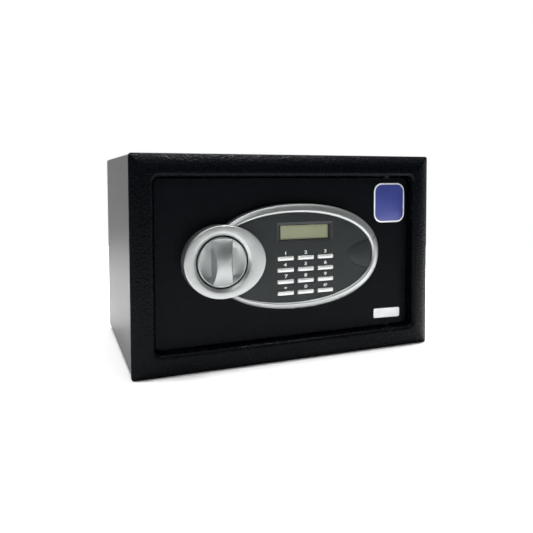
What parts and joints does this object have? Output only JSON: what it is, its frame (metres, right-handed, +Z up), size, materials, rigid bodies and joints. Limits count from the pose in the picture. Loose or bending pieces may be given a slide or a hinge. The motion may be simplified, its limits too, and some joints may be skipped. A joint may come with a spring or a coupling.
{
  "type": "in room safe",
  "caption": "Compact steel in-room safe: pressed front frame, hinged door with keypad, display and turning knob that throws two bolts; emergency lock under a pull-off cover.",
  "frame": {"origin": "centre of the overall box in X and Y, on the surface that the safe stands on", "axes": "+X to the right seen from the front (along the longest extent), +Y into the safe from front to back, +Z up (the shortest extent)"},
  "size_m": [0.31, 0.209, 0.2],
  "materials": {
    "body_paint": "textured powder coat, satin black",
    "frame_paint": "textured powder coat, satin black",
    "door_paint": "fine textured powder coat, satin black",
    "satin_silver": "satin silver paint over moulded plastic",
    "panel_charcoal": "fine matt charcoal moulding",
    "key_silver": "satin silver white",
    "lens": "clear",
    "lcd": "olive grey reflective display",
    "silicone": "matt",
    "board_green": "solder mask",
    "zinc": "bright zinc plate",
    "bolt_steel": "polished bolt",
    "steel_dark": "plain steel",
    "brass": "turned",
    "mat_felt": "short pile felt",
    "foot_rubber": "matt",
    "black_plastic": "moulded",
    "cell_jacket": "plain shrink jacket",
    "button_red": "moulded",
    "wire_red": "insulated wire"
  },
  "bodies": {
    "cabinet": {"body_shell": "body_paint", "back_panel": "body_paint", "front_frame": "frame_paint", "hinge_bosses": "steel_dark", "door_stops": "frame_paint", "floor_mat": "mat_felt", "feet": "foot_rubber"},
    "door": {"door_panel": "door_paint", "hinge_brackets": "door_paint", "hinge_pins": "zinc", "fascia_ring": "satin_silver", "fascia_panel": "panel_charcoal", "display_window": "lens", "display_module": "lcd", "keypad_mat": "silicone", "keypad_board": "board_green", "knob_bezel": "satin_silver", "lock_barrel": "zinc", "lock_nut": "zinc", "bolt_guide": "zinc", "carriage_rails": "zinc", "solenoid_body": "steel_dark", "plunger_spring": "zinc", "control_board": "board_green", "battery_box": "black_plastic", "battery_contacts": "zinc", "battery_cells": "cell_jacket", "mechanism_cover": "body_paint", "cover_screws": "zinc", "fascia_screws": "zinc", "wires": "wire_red"},
    "knob": {"knob": "satin_silver", "spindle": "zinc", "crank": "zinc"},
    "bolt_work": {"bolt_carriage": "zinc", "bolt_upper": "bolt_steel", "bolt_lower": "bolt_steel"},
    "plunger": {"solenoid_plunger": "zinc"},
    "override_lock": {"lock_plug": "brass", "lock_cam": "zinc"},
    "end_cover": {"end_cover": "satin_silver"},
    "battery_lid": {"battery_lid": "black_plastic"},
    "reset_button": {"reset_button": "button_red"},
    "key_1": {"key_1": "key_silver"},
    "key_2": {"key_2": "key_silver"},
    "key_3": {"key_3": "key_silver"},
    "key_4": {"key_4": "key_silver"},
    "key_5": {"key_5": "key_silver"},
    "key_6": {"key_6": "key_silver"},
    "key_7": {"key_7": "key_silver"},
    "key_8": {"key_8": "key_silver"},
    "key_9": {"key_9": "key_silver"},
    "key_star": {"key_star": "key_silver"},
    "key_0": {"key_0": "key_silver"},
    "key_hash": {"key_hash": "key_silver"}
  },
  "joints": [
    {"name": "door_hinge", "type": "hinge", "parent": "cabinet", "child": "door", "pos_m": [0.11265, -0.07725, 0.1], "axis": [0, 0, 1], "range_deg": [0, 88]},
    {"name": "knob_turn", "type": "hinge", "parent": "door", "child": "knob", "pos_m": [-0.0735, -0.08475, 0.1012], "axis": [0, -1, 0], "range_deg": [0, 90]},
    {"name": "bolt_slide", "type": "slide", "parent": "door", "child": "bolt_work", "axis": [-1, 0, 0], "range_m": [0, 0.01697]},
    {"name": "plunger_slide", "type": "slide", "parent": "door", "child": "plunger", "axis": [0, 0, -1], "range_m": [0, 0.00801], "deforming": ["plunger_spring"]},
    {"name": "lock_turn", "type": "hinge", "parent": "door", "child": "override_lock", "pos_m": [0.072, -0.08475, 0.1014], "axis": [0, 1, 0], "range_deg": [0, 90]},
    {"name": "cover_pull", "type": "slide", "parent": "door", "child": "end_cover", "axis": [0, -1, 0], "range_m": [0, 0.01]},
    {"name": "lid_pull", "type": "slide", "parent": "door", "child": "battery_lid", "axis": [0, 1, 0], "range_m": [0, 0.02]},
    {"name": "reset_press", "type": "slide", "parent": "door", "child": "reset_button", "axis": [0, -1, 0], "range_m": [0, 0.0015], "stiffness_N_per_m": 300, "springref_m": -0.0005},
    {"name": "key_1_press", "type": "slide", "parent": "door", "child": "key_1", "axis": [0, 1, 0], "range_m": [0, 0.0008], "stiffness_N_per_m": 400, "springref_m": -0.0005},
    {"name": "key_2_press", "type": "slide", "parent": "door", "child": "key_2", "axis": [0, 1, 0], "range_m": [0, 0.0008], "stiffness_N_per_m": 400, "springref_m": -0.0005},
    {"name": "key_3_press", "type": "slide", "parent": "door", "child": "key_3", "axis": [0, 1, 0], "range_m": [0, 0.0008], "stiffness_N_per_m": 400, "springref_m": -0.0005},
    {"name": "key_4_press", "type": "slide", "parent": "door", "child": "key_4", "axis": [0, 1, 0], "range_m": [0, 0.0008], "stiffness_N_per_m": 400, "springref_m": -0.0005},
    {"name": "key_5_press", "type": "slide", "parent": "door", "child": "key_5", "axis": [0, 1, 0], "range_m": [0, 0.0008], "stiffness_N_per_m": 400, "springref_m": -0.0005},
    {"name": "key_6_press", "type": "slide", "parent": "door", "child": "key_6", "axis": [0, 1, 0], "range_m": [0, 0.0008], "stiffness_N_per_m": 400, "springref_m": -0.0005},
    {"name": "key_7_press", "type": "slide", "parent": "door", "child": "key_7", "axis": [0, 1, 0], "range_m": [0, 0.0008], "stiffness_N_per_m": 400, "springref_m": -0.0005},
    {"name": "key_8_press", "type": "slide", "parent": "door", "child": "key_8", "axis": [0, 1, 0], "range_m": [0, 0.0008], "stiffness_N_per_m": 400, "springref_m": -0.0005},
    {"name": "key_9_press", "type": "slide", "parent": "door", "child": "key_9", "axis": [0, 1, 0], "range_m": [0, 0.0008], "stiffness_N_per_m": 400, "springref_m": -0.0005},
    {"name": "key_star_press", "type": "slide", "parent": "door", "child": "key_star", "axis": [0, 1, 0], "range_m": [0, 0.0008], "stiffness_N_per_m": 400, "springref_m": -0.0005},
    {"name": "key_0_press", "type": "slide", "parent": "door", "child": "key_0", "axis": [0, 1, 0], "range_m": [0, 0.0008], "stiffness_N_per_m": 400, "springref_m": -0.0005},
    {"name": "key_hash_press", "type": "slide", "parent": "door", "child": "key_hash", "axis": [0, 1, 0], "range_m": [0, 0.0008], "stiffness_N_per_m": 400, "springref_m": -0.0005}
  ],
  "couplings": [
    {"joint": "knob_turn", "follows": "bolt_slide", "rad_per_m": 92.56},
    {"joint": "plunger_slide", "follows": "bolt_slide", "ratio": 0.47141}
  ]
}
